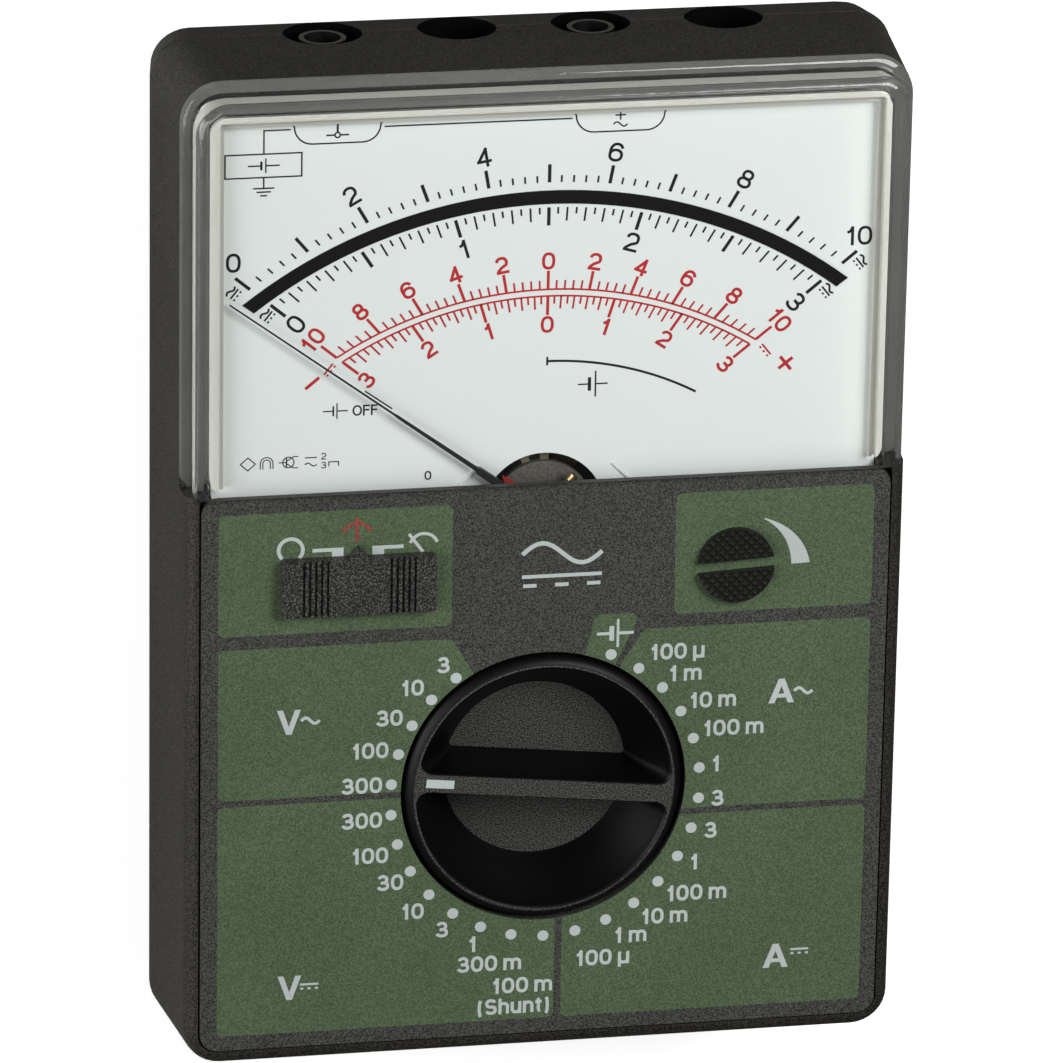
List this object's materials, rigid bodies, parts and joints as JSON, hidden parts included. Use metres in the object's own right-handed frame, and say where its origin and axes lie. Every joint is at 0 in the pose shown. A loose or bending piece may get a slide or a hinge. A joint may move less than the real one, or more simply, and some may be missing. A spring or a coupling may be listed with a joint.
{
  "type": "analog multimeter",
  "caption": "Pocket test meter with a needle dial under a clear window, flush range knob, function slider, adjusting wheel and socket end.",
  "frame": {"origin": "centre of the footprint, on the plane under the rubber feet", "axes": "+Z out of the panel face, +Y towards the socket end, +X to the right of someone reading the dial"},
  "size_m": [0.1, 0.14, 0.035],
  "materials": {
    "case_plastic": "fine textured black moulding",
    "cover_plastic": "fine textured black moulding",
    "panel_print": "satin black sheet with printed green fields and pale numbers",
    "window_clear": "clear moulded window",
    "dial_paint": "pale matt dial paint with printed scales",
    "dial_surround": "grey-beige matt moulding",
    "mirror_band": "dark mirror strip",
    "needle_black": "black painted aluminium tube",
    "weight_brass": "bare wire",
    "steel": "plain steel",
    "soft_iron": "grey sintered",
    "copper_wire": "enamelled copper winding",
    "coil_aluminium": "bare sheet",
    "bronze": "phosphor bronze",
    "cap_grey": "grey moulding",
    "beige_plastic": "beige moulding",
    "red_paint": "red enamel",
    "knob_plastic": "satin black moulding",
    "marker_white": "white fill",
    "control_plastic": "black moulding",
    "switch_plastic": "natural nylon",
    "board_laminate": "glass-fibre laminate with green lacquer",
    "gold_pads": "gold plate",
    "fuse_glass": "clear tube",
    "nickel": "nickel plate",
    "resistor_body": "lacquered ceramic",
    "shunt_wire": "manganin wire",
    "capacitor_sleeve": "shrink sleeve",
    "trimmer_plastic": "blue moulding",
    "foot_rubber": "soft black rubber",
    "collar_plastic": "dark grey moulding",
    "cell_can": "plain lacquered can"
  },
  "bodies": {
    "case": {"front_housing": "case_plastic", "rear_cover": "cover_plastic", "case_screws": "steel", "rubber_feet": "foot_rubber", "window": "window_clear", "front_panel": "panel_print", "dial_plate": "dial_paint", "dial_frame": "dial_surround", "mirror_arc": "mirror_band", "core_magnet": "soft_iron", "core_clamps": "bronze", "yoke_ring": "soft_iron", "movement_frame": "beige_plastic", "front_bridge": "beige_plastic", "movement_cap": "cap_grey", "zero_lever": "red_paint", "detent_spring": "steel", "slide_switch": "control_plastic", "trimmer": "trimmer_plastic", "circuit_board": "board_laminate", "selector_pads": "gold_pads", "fuse_tube": "fuse_glass", "fuse_caps": "nickel", "fuse_clips": "bronze", "resistors": "resistor_body", "current_shunt": "shunt_wire", "capacitors": "capacitor_sleeve", "board_screws": "steel", "socket_housing": "control_plastic", "socket_collar_left": "collar_plastic", "socket_collar_right": "collar_plastic", "socket_sleeve_left": "nickel", "socket_sleeve_right": "nickel", "terminal_straps": "bronze", "battery_cell": "cell_can", "battery_contacts": "nickel", "battery_holder": "control_plastic"},
    "pointer": {"needle": "needle_black", "needle_hub": "needle_black", "balance_weights": "weight_brass", "pivot_staff": "steel", "coil_former": "coil_aluminium", "coil_winding": "copper_wire", "hairspring_front": "bronze", "hairspring_rear": "bronze"},
    "range_selector": {"range_knob": "knob_plastic", "knob_marker": "marker_white", "knob_screw": "steel", "switch_rotor": "switch_plastic", "wiper_contacts": "bronze"},
    "function_slide": {"function_slider": "control_plastic", "slider_carriage": "switch_plastic"},
    "adjuster": {"adjust_wheel": "control_plastic"}
  },
  "joints": [
    {"name": "pointer_swing", "type": "hinge", "parent": "case", "child": "pointer", "pos_m": [0, 0.0084, 0.0303], "axis": [0, 0, 1], "range_deg": [-106, 0], "stiffness_Nm_per_rad": 0.00002},
    {"name": "range_turn", "type": "hinge", "parent": "case", "child": "range_selector", "pos_m": [0, -0.0297, 0.0338], "axis": [0, 0, 1], "range_deg": [-48, 252]},
    {"name": "function_move", "type": "slide", "parent": "case", "child": "function_slide", "axis": [1, 0, 0], "range_m": [-0.0027, 0.0027]},
    {"name": "wheel_turn", "type": "hinge", "parent": "case", "child": "adjuster", "pos_m": [0.0255, 0.001, 0.0343], "axis": [0, 0, 1], "range_deg": [-135, 135]}
  ]
}
